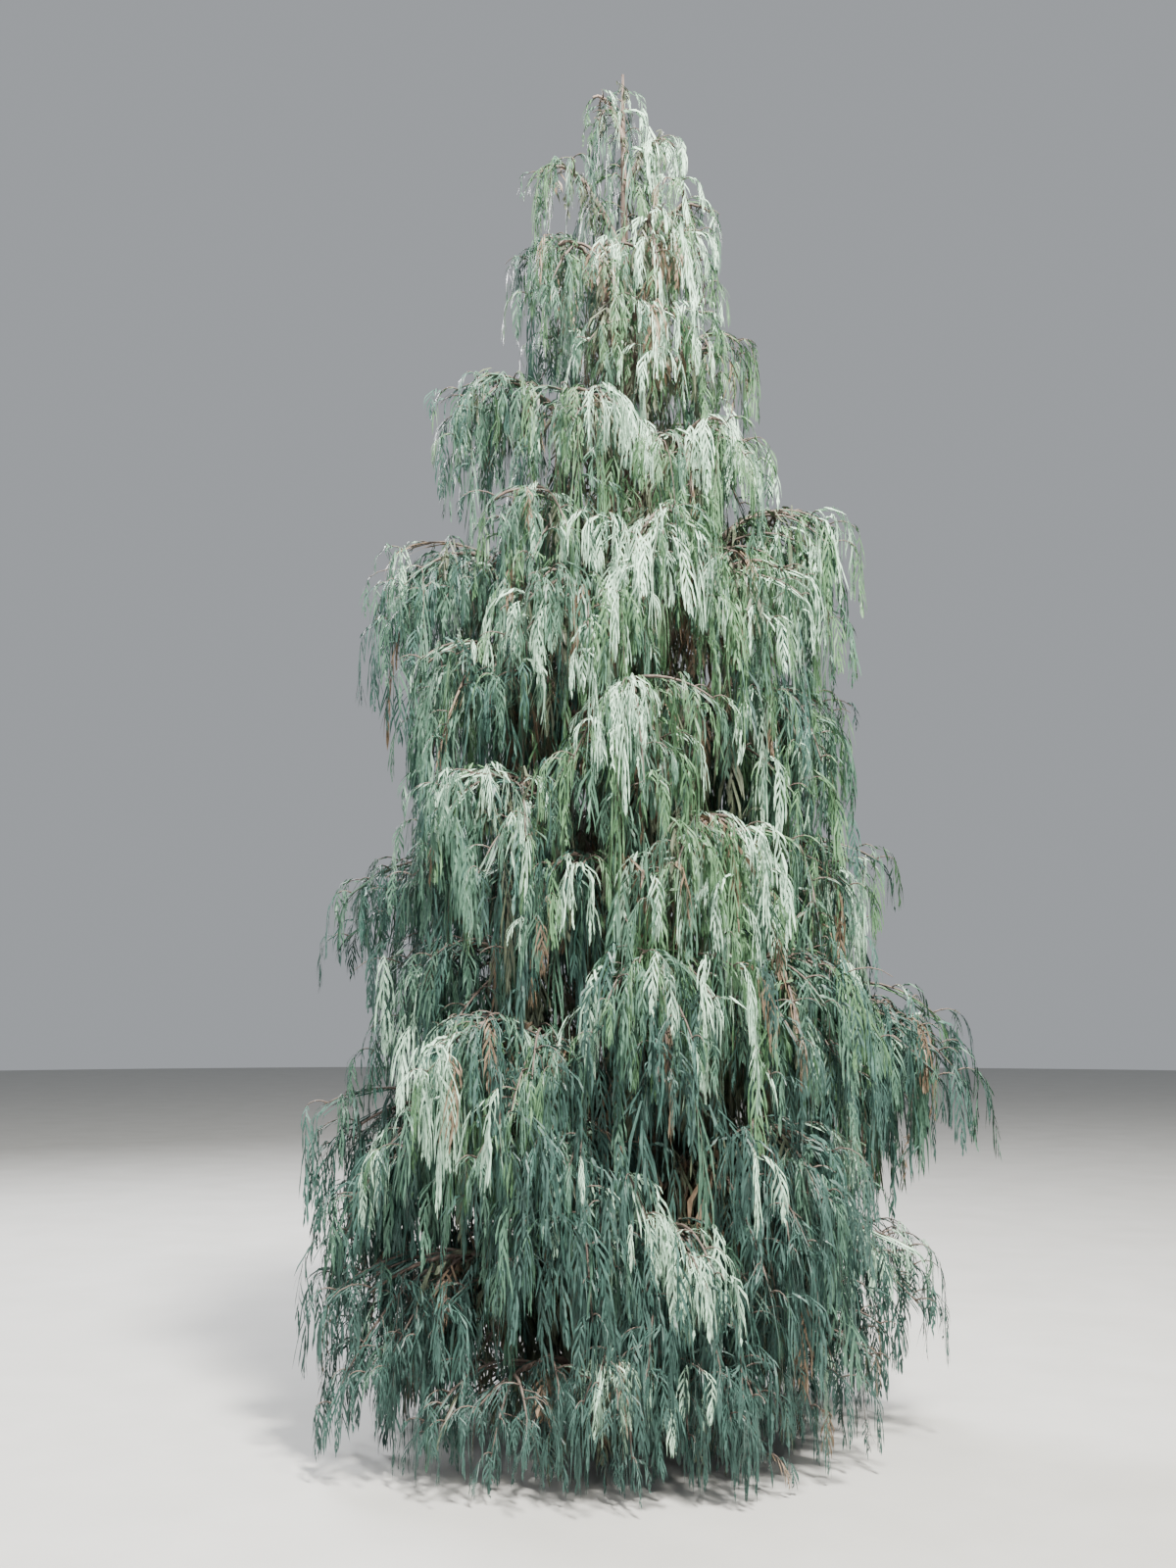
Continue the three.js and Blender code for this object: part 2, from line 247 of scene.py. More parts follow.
def fits(limb, spots, slack, deeper=1.0):
    out = np.linalg.norm((spots - trunkCentre(spots[:, 2]))[:, :2], axis=1)
    good = (out <= limb["reach"]) & (spots[:, 2] > limbShape["groundClear"])
    good &= spots[:, 2] < limb["crest"] + limbShape["topMargin"]
    good &= spots[:, 2] > limb["crest"] - limb["fall"] * deeper
    return good & (roomOverrun(limb, spots) < slack + limb.get("ease", 0))


def archFits(limb, arch, shape):
    return fits(limb, archPoint(arch, shape["tests"]), shape["slack"]).all()


# What carries foliage: a limb's side arms, its twigs, and the strands that hang from them.
armShape = {
    "each": (0.064, 0.08),  # reach times fall that one arm serves, on the lowest limbs and higher up
    "fewest": 2,
    "sideStep": 0.618,  # from arm to arm, so that they spread evenly to the sides and downwards
    "depthStep": 0.755,
    "roots": (0.28, 0.78),  # along the arch of the limb
    "crowding": (1, 1.36),  # more of them at the back
    "breadth": (0.42, 0.7),  # how far to the side of the limb they end, in front and at the back
    "widest": (52, 72),  # the same in degrees, near the trunk
    "deepest": (0.8, 0.62),  # how far below the crest they end, on the lowest limbs and higher up
    "outer": (0.76, 0.97),  # how far out, as a share of the reach
    "outerSide": 0.86,  # the same at the sides against the middle
    "bow": (0.2, 0.42),
    "bowAlong": 0.55,
    "firstSpray": 0.3,
    "sprayRise": 0.003,
    "radius": 0.0075,
    "tipRadius": 0.0026,
    "sides": 5,
    "rings": 8,
    "trims": (1, 0.85, 0.7, 0.55, 0.4),
    "tests": (0.5, 1),  # along it, where it has to fit
    "slack": 0.15,
}

twigShape = {
    "radius": 0.0034,  # at its foot
    "tipRadius": 0.0013,
    "sides": 4,
    "rings": 5,
    "inner": {"limb": 0.3, "arm": 0.5},  # first twig along what carries it
    "outer": 0.98,
    "firstSpray": 0.12,
    "sprayRise": 0.003,
    "pitch": {"limb": 0.2, "arm": 0.075},
    "fewest": {"limb": 3, "arm": 3},
    "trims": (1, 0.8, 0.6, 0.4),
    "length": {"limb": (0.13, 0.27), "arm": (0.08, 0.16)},
    "lastLength": 0.7,
    "fullReach": 0.8,  # twigs are shorter on limbs that reach less far
    "leastSize": 0.5,
    "angleLuck": (0.7, 1.2),
    "wideAngle": 80,
    "narrowAngle": 28,
    "endAngle": 10,
    "bow": (0.58, 0.3),
    "droop": (0.02, 0.2),
    "tests": (0.5, 1),
    "slack": 0.16,  # how far a twig may lean into its neighbour's room
}

strandShape = {
    "inner": {"limb": 0.08, "arm": 0.3, "twig": 0.3},  # first strand along what carries it
    "outer": 0.98,
    "pitch": {"limb": 0.085, "arm": 0.42, "twig": 0.42},
    "length": (0.3, 0.85),  # of the fall
    "out": (0.03, 0.14),
    "rise": 0.01,
    "splay": 1.15,  # how far out it ends, against where it turns down
    "firstSpray": 0.1,
    "radius": 0.0024,
    "tipRadius": 0.0012,
    "sides": 3,
    "rings": 5,
    "trims": (1, 0.75, 0.5, 0.3),
    "tests": (0.6, 1),
    "slack": 0.15,
}


# Anything that sprays grow on, with the place of the first one and how high they lie over its middle.
def bearer(kind, arch, seed, shape):
    carrier = {"kind": kind, "arch": arch, "seed": seed, "long": archLength(arch)}
    carrier.update(inner=shape["firstSpray"], raised=shape.get("sprayRise", 0.0))
    return carrier


# Arms spread from a limb to all parts of its mass's outer face.
def growArms(limb):
    arms = []
    face = limb["reach"] * limb["fall"] * lerp(*armShape["crowding"], limb["back"])
    count = max(armShape["fewest"], round(face / armShape["each"][limb["level"]]))
    breadth = math.degrees(lerp(*armShape["breadth"], limb["back"]) / limb["reach"])
    breadth = min(breadth, lerp(*armShape["widest"], limb["back"]))
    for number in range(count):
        seed = limb["index"] * 29.3 + number * 7.1
        sideways = 2 * ((number * armShape["sideStep"] + scatter(limb["index"] * 1.3)) % 1) - 1
        depth = (number * armShape["depthStep"] + scatter(limb["index"] * 2.7)) % 1
        height = limb["crest"] - limb["fall"] * armShape["deepest"][limb["level"]] * depth
        far = limb["reach"] * between(*armShape["outer"], seed)
        far *= lerp(1, armShape["outerSide"], abs(sideways))
        end = trunkCentre(height) + heading(limb["bearing"] + breadth * sideways) * far
        root = archPoint(limb["arch"], between(*armShape["roots"], seed + 1))
        for trim in armShape["trims"]:
            tip = lerp(root, end, trim)
            long = np.linalg.norm(tip - root)
            over = lerp(root, tip, armShape["bowAlong"]) + up * long * between(*armShape["bow"], seed + 2)
            arch = np.array([root, over, tip])
            if archFits(limb, arch, armShape):
                arms.append(bearer("arm", arch, seed, armShape))
                break
    return arms


# Twigs leave a limb or an arm to both sides in turn, and the last goes on from its tip.
def growTwigs(limb, carrier):
    kind = carrier["kind"]
    inner = twigShape["inner"][kind]
    span = carrier["long"] * (twigShape["outer"] - inner)
    count = max(twigShape["fewest"][kind], round(span / twigShape["pitch"][kind]))
    last = archWay(carrier["arch"], 1.0)
    onward = math.degrees(math.atan2(last[0], -last[1]))
    size = min(1, max(twigShape["leastSize"], limb["reach"] / twigShape["fullReach"]))
    twigs = []
    for number in range(count):
        seed = carrier["seed"] * 1.7 + number * 3.1
        share = number / (count - 1)
        side = 1 if (number + limb["index"]) % 2 else -1
        angle = lerp(twigShape["wideAngle"], twigShape["narrowAngle"], share)
        if number == count - 1:
            angle = twigShape["endAngle"]
        way = heading(onward + side * angle * between(*twigShape["angleLuck"], seed))
        root = archPoint(carrier["arch"], lerp(inner, twigShape["outer"], share))
        whole = size * between(*twigShape["length"][kind], seed + 1)
        whole *= lerp(1, twigShape["lastLength"], share)
        for trim in twigShape["trims"]:
            long = whole * trim
            droop = long * between(*twigShape["droop"], seed + 2)
            over = root + way * long * twigShape["bow"][0] + up * long * twigShape["bow"][1]
            arch = np.array([root, over, root + way * long - up * droop])
            if archFits(limb, arch, twigShape):
                twigs.append(bearer("twig", arch, seed, twigShape))
                break
    return twigs


# Strands are thin twigs that hang straight down from all the others.
def growStrands(limb, carriers):
    strands = []
    for carrier in carriers:
        inner = strandShape["inner"][carrier["kind"]]
        count = round(carrier["long"] * (1 - inner) / strandShape["pitch"][carrier["kind"]])
        for number in range(count):
            seed = carrier["seed"] * 2.3 + number * 4.7 + 11
            share = lerp(inner, strandShape["outer"], (number + scatter(seed)) / count)
            root = archPoint(carrier["arch"], share)
            way = heading(360 * scatter(seed + 1))
            out = between(*strandShape["out"], seed + 2)
            for trim in strandShape["trims"]:
                long = limb["fall"] * between(*strandShape["length"], seed + 3) * trim
                over = root + way * out + up * strandShape["rise"]
                end = root + way * out * strandShape["splay"] - up * long
                arch = np.array([root, over, end])
                if archFits(limb, arch, strandShape):
                    strands.append(bearer("strand", arch, seed, strandShape))
                    break
    return strands


# Short twigs round the leader, up to its tip.
leader = {
    "index": 0,
    "level": 1,
    "reach": 0.2,
    "crest": 5.42,
    "fall": 0.85,
    "ease": 1.0,
    "twigs": 18,
    "middle": trunkCentre(5.2),
    "heights": (4.82, 5.45),
    "lengths": (0.15, 0.035),
    "lengthLuck": (0.7, 1.2),
    "turn": 137.5,
    "bow": 0.7,
    "droop": 0.2,
    "firstSpray": 0.05,
}


def growLeader():
    twigs = []
    for number in range(leader["twigs"]):
        share = number / (leader["twigs"] - 1)
        height = lerp(*leader["heights"], share)
        way = heading(leader["turn"] * number)
        long = lerp(*leader["lengths"], share) * between(*leader["lengthLuck"], number * 2.7)
        root = trunkCentre(height)
        over = root + way * long * leader["bow"] + up * long * leader["bow"]
        arch = np.array([root, over, root + way * long - up * long * leader["droop"]])
        twigs.append(bearer("twig", arch, number * 9.7, leader))
    return twigs


# How sprays hang on what carries them.
sprayShape = {
    "size": 0.36,  # length that the widths of a flat spray belong to
    "pitch": {"limb": 0.1, "arm": 0.125, "twig": 0.08, "strand": 0.155},  # from root to root
    "lengths": (0.2, 0.46),
    "fullFall": 0.72,  # they are shorter in masses that fall less
    "fallSizes": (0.45, 1.1),
    "deeper": (1.5, 1.25),  # how far they hang, of the fall, on the lowest limbs and higher up
    "crowding": 0.8,  # towards the end of what carries them
    "rootLuck": (0.1, 0.9),
    "forward": (-0.1, 1.3),  # how far they start along what carries them, against sideways
    "trims": (1, 0.75, 0.55),
    "simpleLight": 0.6,  # with less light than this they are of the simplest kind
    "leastLength": 0.12,
    "archShare": 0.2,  # of its length, over which a spray bends down
    "leastArch": 0.035,
    "archLuck": (0.7, 1.4),
    "bendPower": 1.5,
    "lift": (0, 42),  # in degrees, where it leaves its twig
    "lean": (0, 0.12),
    "turn": 82,  # of its flat side, away from facing outwards
    "tail": (0.1, 0.28),  # how far the spray at a twig's end hangs on
    "leastTail": 0.04,
    "tailArch": 0.06,
    "coverLength": 0.34,  # of the sprays along a limb or twig
    "coverLap": 0.1,
    "coverWidth": 0.55,
    "coverSlack": 0.24,
    "widthPower": 0.6,
    "slack": 0.2,
    "flatOut": 0.3,  # where its line runs level it lies that much narrower
    "flatDroop": 0.9,  # and its sides droop
    "pathSteps": 26,
    "middleStep": 8,  # of those, where its light is read
    "tests": (10, 25),  # and where it has to fit
    "coverTests": (12, 25),
}

# Dark sprays near the trunk, in the deep tone of painted shade or dry. Pairs are for the lowest limbs and
# for those higher up.
liningShape = {
    "pitch": (0.027, 0.036),
    "roots": (0.04, 0.75),
    "lengths": (0.4, 0.75),  # of the fall
    "limits": (0.05, 0.52),
    "deeper": 1.2,
    "spread": 0.22,
    "width": (1.75, 1.25),
    "dry": 0.24,
}

# The outline of one flat spray, in metres at the size above.
leaf = {
    "first": 0.03,  # place of the first and last branchlet on the stalk
    "last": 0.88,
    "placeLuck": 0.3,
    "longest": 0.112,
    "ragged": (0.5, 1.3),
    "footLength": 0.45,  # branchlets grow longer from the foot, and shorter again towards the tip
    "footGain": 2.2,
    "tipLength": 0.3,
    "tipLoss": 1.45,
    "wide": 37,  # angle where the first branchlets leave the stalk, in degrees
    "narrow": 13,
    "angleLuck": (0.7, 1.2),
    "hang": 0.08,  # share of that angle left at their tips
    "bendSpeed": 1.6,
    "slope": 0.28,
    "half": 0.0043,  # half the width of a branchlet from tooth to tooth
    "widths": (1.15, 0.7),  # at its foot and its tip, as shares
    "coarsePower": 0.8,  # sprays with fewer branchlets have wider ones
    "waist": 0.5,  # its width between two teeth, as a share
    "forward": 0.45,  # how far its teeth point forward, as a share of a step
    "lastStep": 0.6,
    "roll": 0.55,  # of a branchlet about its own line
    "keel": (0.1, 0.4),  # how far both halves of a spray fold back
    "stalk": 0.0024,
    "stalkTaper": 0.4,
}

# Sprays are cut to their length: each kind serves down to its least length. Inner ones hang in the dark.
sprayKinds = {
    "long": {"least": 0.33, "branchlets": 18, "steps": 4, "copies": 6},
    "middle": {"least": 0.22, "branchlets": 15, "steps": 3, "copies": 5},
    "short": {"least": 0, "branchlets": 13, "steps": 3, "copies": 4},
    "inner": {"least": 0, "branchlets": 14, "steps": 2, "copies": 4},
}
kindNames = list(sprayKinds)

# Tones from the deep inside of the crown to its sunlit tips, then dead sprays and those near the ground.
# Deep and the ground tone are painted shade, pale a painted highlight, blue and fresh partly painted shade
# and sunlight; dry is the dead sprays' own colour.
foliageTones = {
    "deep": ((0.054, 0.068, 0.043), (0.112, 0.132, 0.082)),
    "blue": ((0.026, 0.069, 0.057), (0.053, 0.124, 0.101)),
    "grey": ((0.036, 0.088, 0.060), (0.071, 0.150, 0.102)),
    "freshAndSunlit": ((0.045, 0.108, 0.051), (0.089, 0.182, 0.086)),
    "paleHighlight": ((0.230, 0.400, 0.290), (0.470, 0.680, 0.515)),
    "dry": ((0.105, 0.074, 0.048), (0.215, 0.152, 0.098)),
    "groundShade": ((0.019, 0.050, 0.042), (0.041, 0.092, 0.077)),
}
tones = {name: number for number, name in enumerate(foliageTones)}


# One flat spray on its own: points as (along, out, lift), and the triangles between them. Each branchlet is
# a toothed ribbon that leaves the stalk at an angle and hangs down along it.
def sprayTemplate(kind, copy):
    size = sprayShape["size"]
    count = kind["branchlets"]
    steps = kind["steps"]
    points = []
    faces = []
    stalkEnd = leaf["last"] * size
    for i in range(steps + 1):
        half = leaf["stalk"] * lerp(1, leaf["stalkTaper"], i / steps)
        points += [(i / steps * stalkEnd, -half, 0), (i / steps * stalkEnd, half, 0)]
    for i in range(steps):
        faces += [(2 * i, 2 * i + 1, 2 * i + 3), (2 * i, 2 * i + 3, 2 * i + 2)]
    keel = between(*leaf["keel"], copy * 3.7 + count)
    coarse = (sprayKinds["long"]["branchlets"] / count) ** leaf["coarsePower"]
    for number in range(count):
        seed = copy * 51.7 + count * 11.3 + number * 2.3
        share = (number + between(-leaf["placeLuck"], leaf["placeLuck"], seed + 7)) / (count - 1)
        side = 1 if number % 2 else -1
        outline = min(1, leaf["footLength"] + leaf["footGain"] * share)
        outline *= min(1, leaf["tipLoss"] * (1 - share) + leaf["tipLength"])
        long = leaf["longest"] * outline * between(*leaf["ragged"], seed)
        angle = math.radians(lerp(leaf["wide"], leaf["narrow"], share))
        angle *= between(*leaf["angleLuck"], seed + 1)
        roll = between(-1, 1, seed + 2) * leaf["roll"]
        slope = between(-leaf["slope"], leaf["slope"], seed + 3)
        along = size * lerp(leaf["first"], leaf["last"], share)
        spot = np.array([along, 0.0, 0.0])
        step = long / steps
        base = len(points)
        for i in range(steps + 1):
            bend = angle * lerp(1, leaf["hang"], min(1, i / steps * leaf["bendSpeed"]))
            ahead = np.array([math.cos(bend), side * math.sin(bend), slope])
            across = np.array([-math.sin(bend) * side, math.cos(bend), roll])
            tooth = i % 2 == 1
            width = leaf["half"] * coarse * (1 if tooth else leaf["waist"])
            width *= lerp(*leaf["widths"], i / steps)
            middle = spot + ahead * step * (leaf["forward"] if tooth else 0)
            if i == steps:
                points.append(tuple(spot + ahead * step * leaf["lastStep"]))
            else:
                points += [tuple(middle - across * width), tuple(middle + across * width)]
            spot = spot + ahead * step
        for i in range(steps - 1):
            a = base + 2 * i
            faces += [(a, a + 1, a + 3), (a, a + 3, a + 2)]
        last = base + 2 * (steps - 1)
        faces.append((last, last + 1, last + 2))
    points = np.array(points)
    points[:, 2] -= keel * np.abs(points[:, 1])
    return points, np.array(faces)


# The line of each spray, from where it leaves its twig along its way until it hangs plumb.
def hangingPaths(roots, ways, lengths, seeds):
    arch = np.maximum(sprayShape["archShare"] * lengths, sprayShape["leastArch"])
    arch = arch * between(*sprayShape["archLuck"], seeds + 1.1)
    lift = np.radians(between(*sprayShape["lift"], seeds + 1.7))
    lean = heading(360 * scatter(seeds + 2.9)) * between(*sprayShape["lean"], seeds + 3.1)[:, None]
    along = np.linspace(0, 1, sprayShape["pathSteps"])[None] * lengths[:, None]
    stiff = np.exp(-((along / arch[:, None]) ** sprayShape["bendPower"]))
    rise = -math.pi / 2 + (lift[:, None] + math.pi / 2) * stiff
    ahead = np.cos(rise)[..., None] * ways[:, None] + np.sin(rise)[..., None] * up
    ahead = unit(ahead + lean[:, None] * (1 - stiff)[..., None])
    step = np.diff(along, axis=1)[..., None]
    travel = np.cumsum((ahead[:, 1:] + ahead[:, :-1]) / 2 * step, axis=1)
    return roots[:, None] + np.concatenate([np.zeros((len(roots), 1, 3)), travel], axis=1)


# The line of a spray that covers part of a twig and hangs on past its end by the tail.
def coveringPath(arch, low, high, raised, tail, coverSteps=40, tailSteps=23):
    spots = archPoint(arch, np.linspace(low, high, coverSteps)) + up * raised
    ahead = archWay(arch, high)
    shares = np.linspace(0, 1, tailSteps + 1)[1:]
    bend = 1 - np.exp(-((shares * tail / sprayShape["tailArch"]) ** sprayShape["bendPower"]))
    ways = unit(ahead * (1 - bend)[:, None] - up * bend[:, None])
    spots = np.concatenate([spots, spots[-1] + np.cumsum(ways * tail / tailSteps, axis=0)])
    far = np.concatenate([[0], np.cumsum(np.linalg.norm(np.diff(spots, axis=0), axis=1))])
    even = np.linspace(0, far[-1], sprayShape["pathSteps"])
    return np.stack([np.interp(even, far, spots[:, axis]) for axis in range(3)], axis=1), far[-1]


# The middle of each spray, how far below the crest it is and how high on the tree.
def middleOf(limb, sprays):
    middle = sprays["path"][:, sprayShape["middleStep"]]
    below = (limb["crest"] - middle[:, 2]) / limb["fall"]
    return middle, below, middle[:, 2] / treeShape["height"]


# How much light a spray gets, by how far out and how high in its mass it hangs, and by chance.
lighting = {"inside": 0.2, "below": 0.35, "high": 0.15, "luck": (-0.2, 0.2)}


def lightOn(limb, sprays):
    middle, below, high = middleOf(limb, sprays)
    out = np.linalg.norm(middle[:, :2], axis=1) + lighting["inside"]
    out = out / (limb["reach"] + lighting["inside"])
    luck = between(*lighting["luck"], sprays["seed"] + 5.1)
    return out - lighting["below"] * below + lighting["high"] * high + luck


# Parts of the crown that the sun catches or misses: bearing, height, half their depth, and how much.
# These are painted light: they change the sprays' tones, not the lamps.
sunnyParts = [
    (-41, 1.1, 0.35, 0.6),
    (15, 2.0, 0.35, 0.45),
    (5, 1.2, 0.3, -0.4),
    (60, 2.9, 0.4, -0.4),
    (5, 0.4, 0.3, -0.3),
]
toning = {
    "sunBearing": 45.0,
    "partPower": 6,  # how quickly a part of the crown turns away from the sun
    # Warmth is partly painted light: higher on the side towards the sun and where the sun catches, lower
    # where it misses; height and chance add the foliage's own variation.
    "sunSideWarmth": 0.4,
    "fullSide": 2.2,
    "highWarmth": 0.85,
    "sunPartWarmth": 0.7,
    "warmthLuck": (-0.6, 0.5),
    "freshAndSunlit": 0.72,  # warmer sprays are fresh, then grey, and the rest blue: warmth is partly painted sunlight and shade
    "grey": 0.1,
    "side": 0.45,  # painted highlights in pale patches, more of them towards the sun and higher up
    "high": 0.5,
    "fewer": -0.32,
    "shares": (0.04, 0.8),
    "depth": 0.3,  # how far below the crest they reach
    "moreDepth": 0.25,
    "farSide": -0.3,
    "highlightMinLight": 0.65,
    # Painted shade near the ground: darker blue sprays, more of them lower down and fewer where the sun
    # catches.
    "groundShade": 1.05,
    "groundShadeLoss": 2.3,
    "deepLight": 0.4,
    "dryLight": 0.5,
    "dryInside": 0.13,
    "dryOutside": 0.014,
}


def sunOn(middle):
    outward = unit(middle * [1, 1, 0])
    sun = np.zeros(len(middle))
    for bearing, height, depth, strength in sunnyParts:
        facing = np.clip((outward * heading(float(bearing))).sum(axis=1), 0, 1) ** toning["partPower"]
        sun += strength * facing * np.exp(-((middle[:, 2] - height) / depth) ** 2)
    return sun


# How likely a spray on the shoulder of its mass is to be pale, a painted highlight, in broad patches over
# the crown.
def highlightPatches(middle, sunlit, high):
    x, y, z = middle.T
    patches = np.sin(x * 6.1 + z * 4.3) * np.sin(z * 6.7 - y * 5.2 + 1.3)
    return patches + toning["side"] * sunlit + toning["high"] * high + toning["fewer"]


# Which tone a spray has: by its light, by its side of the crown towards or away from the sun, and by
# chance. Deep and the ground tone are painted shade, pale a painted highlight; fresh and blue are partly
# painted sunlight and shade, partly height and chance.
def dealTones(limb, sprays, light):
    seeds = sprays["seed"]
    middle, below, high = middleOf(limb, sprays)
    sunlit = (unit(middle * [1, 1, 0]) * heading(toning["sunBearing"])).sum(axis=1)
    sun = sunOn(middle)
    # Painted sunlight and shade: sprays towards the sun and in sunny parts turn fresh, those away from it
    # blue; height and chance add their own variation.
    warmth = toning["sunSideWarmth"] * sunlit * np.minimum(1, high * toning["fullSide"])
    warmth = warmth + toning["highWarmth"] * high + toning["sunPartWarmth"] * sun
    warmth = warmth + between(*toning["warmthLuck"], seeds + 4.3)
    cool = np.where(warmth > toning["grey"], tones["grey"], tones["blue"])
    tone = np.where(warmth > toning["freshAndSunlit"], tones["freshAndSunlit"], cool)
    patches = highlightPatches(middle, sunlit, high) + sun
    depth = toning["depth"] + toning["moreDepth"] * np.clip(patches, 0, 1)
    shoulder = (below < depth) & (sunlit + high > toning["farSide"])
    shoulder &= light > toning["highlightMinLight"]
    # Painted highlight: pale sprays on the sunlit shoulders.
    paleHighlight = shoulder & (scatter(seeds + 6.1) < np.clip(patches, *toning["shares"]))
    tone = np.where(paleHighlight, tones["paleHighlight"], tone)
    # Painted shade: the dark ground tone, more of it towards the ground.
    groundShade = scatter(seeds + 5.7) < toning["groundShade"] - toning["groundShadeLoss"] * high - sun
    tone = np.where(groundShade & ~paleHighlight, tones["groundShade"], tone)
    # Painted shade: sprays with little light take the dark deep tone.
    tone = np.where(light < toning["deepLight"], tones["deep"], tone)
    dryShare = np.where(light < toning["dryLight"], toning["dryInside"], toning["dryOutside"])
    return np.where(scatter(seeds + 7.7) < dryShare, tones["dry"], tone)


# Sprays along a twig itself, end to end, so that it doesn't show bare from above.
def coverTwig(limb, carrier, lowest, deeper):
    arch, inner = carrier["arch"], carrier["inner"]
    found = []
    covers = max(1, round(carrier["long"] * (1 - inner) / sprayShape["coverLength"]))
    edges = np.linspace(inner, 1, covers + 1)
    for number in range(covers):
        luck = carrier["seed"] * 3.3 + number * 2.1
        tail = sprayShape["coverLap"]
        if number == covers - 1:
            room = max(sprayShape["leastTail"], archPoint(arch, 1.0)[2] - lowest)
            tail = min(between(*sprayShape["tail"], luck), room)
        path, far = coveringPath(arch, edges[number], edges[number + 1], carrier["raised"], tail)
        if fits(limb, path[list(sprayShape["coverTests"])], sprayShape["coverSlack"], deeper).all():
            found.append((path[None], [far], [luck], [sprayShape["coverWidth"]]))
    return found


# Sprays that hang from it to both sides in turn. Each is shortened until it fits, or left out.
def hangFrom(limb, carrier, lowest, deeper):
    arch, inner = carrier["arch"], carrier["inner"]
    found = []
    count = round(carrier["long"] * (1 - inner) / sprayShape["pitch"][carrier["kind"]])
    if count < 1:
        return found
    numbers = np.arange(count)
    luck = carrier["seed"] * 7.7 + numbers * 1.93
    places = (numbers + between(*sprayShape["rootLuck"], luck)) / count
    shares = lerp(inner, 1, places ** sprayShape["crowding"])
    along = unit(archWay(arch, shares) * [1, 1, 0] + [1e-6, 0, 0])
    hand = np.where(numbers % 2, 1.0, -1.0)[:, None]
    onward = between(*sprayShape["forward"], luck + 0.3)[:, None]
    ways = unit(np.cross(along, up) * hand + along * onward)
    roots = archPoint(arch, shares)
    fallSize = np.clip(limb["fall"] / sprayShape["fullFall"], *sprayShape["fallSizes"])
    wanted = between(*sprayShape["lengths"], luck + 0.7) * fallSize
    trial = np.minimum(wanted, roots[:, 2] - lowest + sprayShape["leastArch"])
    free = np.ones(count, bool)
    for trim in sprayShape["trims"]:
        size = trial * trim
        paths = hangingPaths(roots, ways, size, luck)
        good = free & (size > sprayShape["leastLength"])
        for step in sprayShape["tests"]:
            good &= fits(limb, paths[:, step], sprayShape["slack"], deeper)
        found.append((paths[good], size[good], luck[good], np.ones(good.sum())))
        free &= ~good
    return found


def growSprays(limb, carriers):
    deeper = sprayShape["deeper"][limb["level"]]
    lowest = max(limb["crest"] - limb["fall"] * deeper, limbShape["groundClear"])
    found = []
    for carrier in carriers:
        found += coverTwig(limb, carrier, lowest, deeper)
        found += hangFrom(limb, carrier, lowest, deeper)
    keys = ("path", "length", "seed", "width")
    sprays = {key: np.concatenate(part) for key, part in zip(keys, zip(*found))}
    light = lightOn(limb, sprays)
    sprays["tone"] = dealTones(limb, sprays, light)
    kind = np.full(len(light), kindNames.index("short"))
    for name in ("middle", "long"):
        kind[sprays["length"] > sprayKinds[name]["least"]] = kindNames.index(name)
    kind[light < sprayShape["simpleLight"]] = kindNames.index("inner")
    sprays["kind"] = kind
    return sprays


# Dark sprays that hang from the inner part of a limb, round the trunk, in the deep tone of painted shade or
# as dead sprays.
def growLining(limb):
    count = max(2, round(limb["reach"] / liningShape["pitch"][limb["level"]]))
    seeds = limb["index"] * 13.7 + np.arange(count) * 2.9
    shares = lerp(*liningShape["roots"], (np.arange(count) + scatter(seeds)) / count)
    roots = archPoint(limb["arch"], shares)
    aside = np.cross(heading(float(limb["bearing"])), up)
    roots += aside * (between(-1, 1, seeds + 4) * liningShape["spread"] * shares)[:, None]
    lowest = max(limb["crest"] - limb["fall"] * liningShape["deeper"], limbShape["groundClear"])
    lengths = limb["fall"] * between(*liningShape["lengths"], seeds + 1)
    lengths = np.clip(np.minimum(lengths, roots[:, 2] - lowest), *liningShape["limits"])
    ways = heading(360 * scatter(seeds + 2))
    lining = {"path": hangingPaths(roots, ways, lengths, seeds), "length": lengths, "seed": seeds}
    lining["width"] = np.full(count, liningShape["width"][limb["level"]])
    # Lining sprays take the deep tone, painted shade, or the dry tone of dead sprays.
    dry = scatter(seeds + 3) < liningShape["dry"]
    lining["tone"] = np.where(dry, tones["dry"], tones["deep"])
    lining["kind"] = np.full(count, kindNames.index("inner"))
    return {key: value[lengths > sprayShape["leastLength"]] for key, value in lining.items()}


